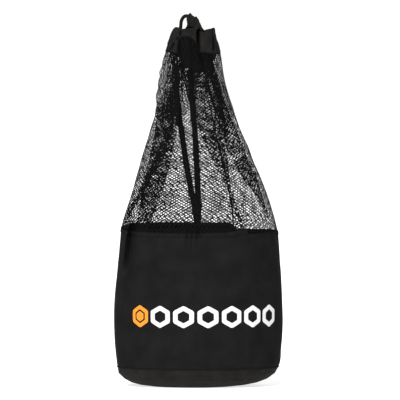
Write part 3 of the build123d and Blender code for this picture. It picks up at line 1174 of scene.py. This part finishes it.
rim_rows = [
    stitch_line(body, body_normal, body_share(RIM - drop), off, 4.6)
    for drop, off in ((2.6, 1.25), (7.4, 1.0))
]
rim_thread = stitches("rim_thread", "rim_stitching", np.concatenate(rim_rows))
outer_normal = grid_normals(casing_outer)
hem_rows = [stitch_line(casing_outer, outer_normal, v, 0.35, 4.4) for v in (0.045, 0.55)]
hem_thread = stitches("hem_thread", "hem_stitching", np.concatenate(hem_rows))

# The drawcord inside the casing's channel.
channel = sample(casing, np.linspace(0, 1, 700, endpoint=False), 0.76)
drawcord = tube_piece("drawcord_webbing", channel, 3.0, 2.0, cord_yarn, (0.0, 0.0, 1.0))
belong(drawcord, "bag", "drawcord")

# The patch where the legs end, and the sewn box with a cross on it.
patch_u = share_of(np.linspace(81.5, 98.5, 31))
patch = np.array([on_body(patch_u, height, 1.5) for height in np.linspace(326, 366, 25)])
anchor = cloth_piece("strap_anchor_patch", patch, PATCH_THICKNESS, webbing_weave)
belong(anchor, "bag", "strap_anchor")


def box_stitches(centre, half_width, half_height, pitch):
    """The box and its cross as stitches on the outer webbing, facing backwards."""
    corners = np.array([(-1, 0, -1), (1, 0, -1), (1, 0, 1), (-1, 0, 1)])
    corners = corners * (half_width, 0.0, half_height)
    lines = []
    for start, end in ((0, 1), (1, 2), (2, 3), (3, 0), (0, 2), (1, 3)):
        a, b = corners[start], corners[end]
        count = max(2, int(length(b - a) / pitch))
        for k in range(count):
            t = (k + np.linspace(0.12, 0.85, STITCH_PLACES)) / count
            lines.append(a + (b - a) * t[:, None])
    lines = np.array(lines) + centre
    y = np.array([[back_y(x, z) for x, _, z in line] for line in lines])
    lines[..., 1] = y + WEBBING_CLEARANCE - PRESSED_IN + CROSSING_STEP + WEBBING_THICKNESS + 0.1
    facing = np.broadcast_to([0.0, 1.0, 0.0], lines.shape)
    return np.stack([lines, facing], axis=2)


box_lines = box_stitches(np.array([0.0, 0.0, 362.0]), 5.4, 9.5, 2.6)
stitches("anchor_thread", "anchor_stitching", box_lines)


# The printed row: one accent hexagon and six white ones, each a film with rounded corners. The
# span and the row's places are degrees round the bag, and the heights are millimetres.
PRINT_HALF_SPAN = 7.2
PRINT_HALF_HEIGHT = 29.0
PRINT_MIDDLE = 181.0
PRINT_FIRST = 226.5
PRINT_PITCH = 16.7
PRINT_POINTS = 12
PRINT_GIRTH = 1240.0
PRINT_RINGS = 9
PRINT_TOP = 0.30
PRINT_UNDER = -0.25
ROUNDING = 0.16


def hexagon(half_width, half_height):
    """A closed outline of a hexagon that stands on a point, its corners rounded."""
    turn = np.radians(90 + 60 * np.arange(6))
    width = np.cos(turn) / math.cos(math.pi / 6) * half_width
    corners = np.stack([width, np.sin(turn) * half_height], -1)
    line = []
    for k in range(6):
        before, here, after = corners[k - 1], corners[k], corners[(k + 1) % 6]
        start, end = here + (before - here) * ROUNDING, here + (after - here) * ROUNDING
        stop = after + (here - after) * ROUNDING
        steps = np.linspace(0, 1, PRINT_POINTS, endpoint=False)
        line += [(1 - t) ** 2 * start + 2 * t * (1 - t) * here + t * t * end for t in steps]
        line += [end + (stop - end) * t for t in steps]
    return np.array(line)


def print_ring(angle, outer_share, inner_share):
    """The ring between two hexagons round one place of the row, as a closed film."""
    outline = hexagon(PRINT_HALF_SPAN, PRINT_HALF_HEIGHT)
    spot = outline[None] * np.linspace(inner_share, outer_share, PRINT_RINGS)[:, None, None]
    u = share_of(angle + spot[..., 0])
    height = PRINT_MIDDLE + spot[..., 1]
    points = twice(on_body(u, height, PRINT_TOP), on_body(u, height, PRINT_UNDER))
    faces = thicken(ring_faces(np.arange(u.size).reshape(u.shape)), u.size)
    return points, faces, twice(np.stack([u * PRINT_GIRTH, height], -1))


def print_piece(name, node, material, rings):
    """One piece from rings, each the angle of its place and its outer and inner share."""
    points, faces, flats = zip(*(print_ring(*ring) for ring in rings))
    faces = np.concatenate([face + k * len(points[0]) for k, face in enumerate(faces)])
    piece = make_mesh(name, np.concatenate(points), faces, material, np.concatenate(flats))
    belong(piece, "bag", node)
    return piece


accent = print_piece(
    "print_accent_film", "print_accent", accent_film,
    [(PRINT_FIRST, 1.0, 0.62), (PRINT_FIRST, 0.46, 0.02)],
)
marks = print_piece(
    "print_marks_film", "print_marks", white_film,
    [(PRINT_FIRST + k * PRINT_PITCH, 1.0, 0.55) for k in range(1, 7)],
)

# Floor, light and the room.
FLOOR_REACH = 60.0
floor_mesh = bpy.data.meshes.new("floor")
floor_mesh.from_pydata(
    [(x * FLOOR_REACH, y * FLOOR_REACH, 0) for x, y in ((-1, -1), (1, -1), (1, 1), (-1, 1))],
    [], [(0, 1, 2, 3)],
)
add_object("floor", floor_mesh)
floor_mesh.materials.append(Paint("floor_paint", {
    "Base Color": (0.88, 0.88, 0.88, 1), "Emission Color": (1.0, 1.0, 1.0, 1),
    "Emission Strength": 0.72, "Roughness": 0.9, "Specular IOR Level": 0.1,
}).material)

# White all round: a dim light for the bag, and a bright one that only the camera sees.
room = bpy.data.worlds.new("room")
room.use_nodes = True
nodes, links = room.node_tree.nodes, room.node_tree.links
either = nodes.new("ShaderNodeMixShader")
links.new(nodes.new("ShaderNodeLightPath").outputs["Is Camera Ray"], either.inputs[0])
links.new(either.outputs[0], nodes["World Output"].inputs[0])
backgrounds = (nodes["Background"], nodes.new("ShaderNodeBackground"))
for socket, (background, strength) in enumerate(zip(backgrounds, (0.2, 1.05)), start=1):
    background.inputs["Color"].default_value = (1.0, 1.0, 1.0, 1)
    background.inputs["Strength"].default_value = strength
    links.new(background.outputs[0], either.inputs[socket])
scene.world = room


def add_light(name, kind, energy, place, turn):
    light = bpy.data.lights.new(name, kind)
    light.energy = energy
    lamp = add_object(name, light)
    lamp.location, lamp.rotation_euler = place, turn
    return light


# Two soft lamps aimed at the bag's middle, and a soft sun from the front.
for name, place, size, power in (
    ("key", (-0.5, -2.9, 1.5), 0.9, 26.0), ("back", (0.8, 2.6, 2.0), 1.8, 22.0)
):
    x, y, z = np.array([0.0, 0.0, 0.45]) - np.array(place)
    turn = (math.pi / 2 + math.atan2(z, math.hypot(x, y)), 0.0, math.atan2(y, x) - math.pi / 2)
    add_light(name, "AREA", power, place, turn).size = size
sun_turn = (math.radians(54), 0.0, math.radians(-14))
add_light("sun", "SUN", 3.6, (0.0, 0.0, 0.0), sun_turn).angle = math.radians(25)
scene.view_settings.view_transform = "Standard"
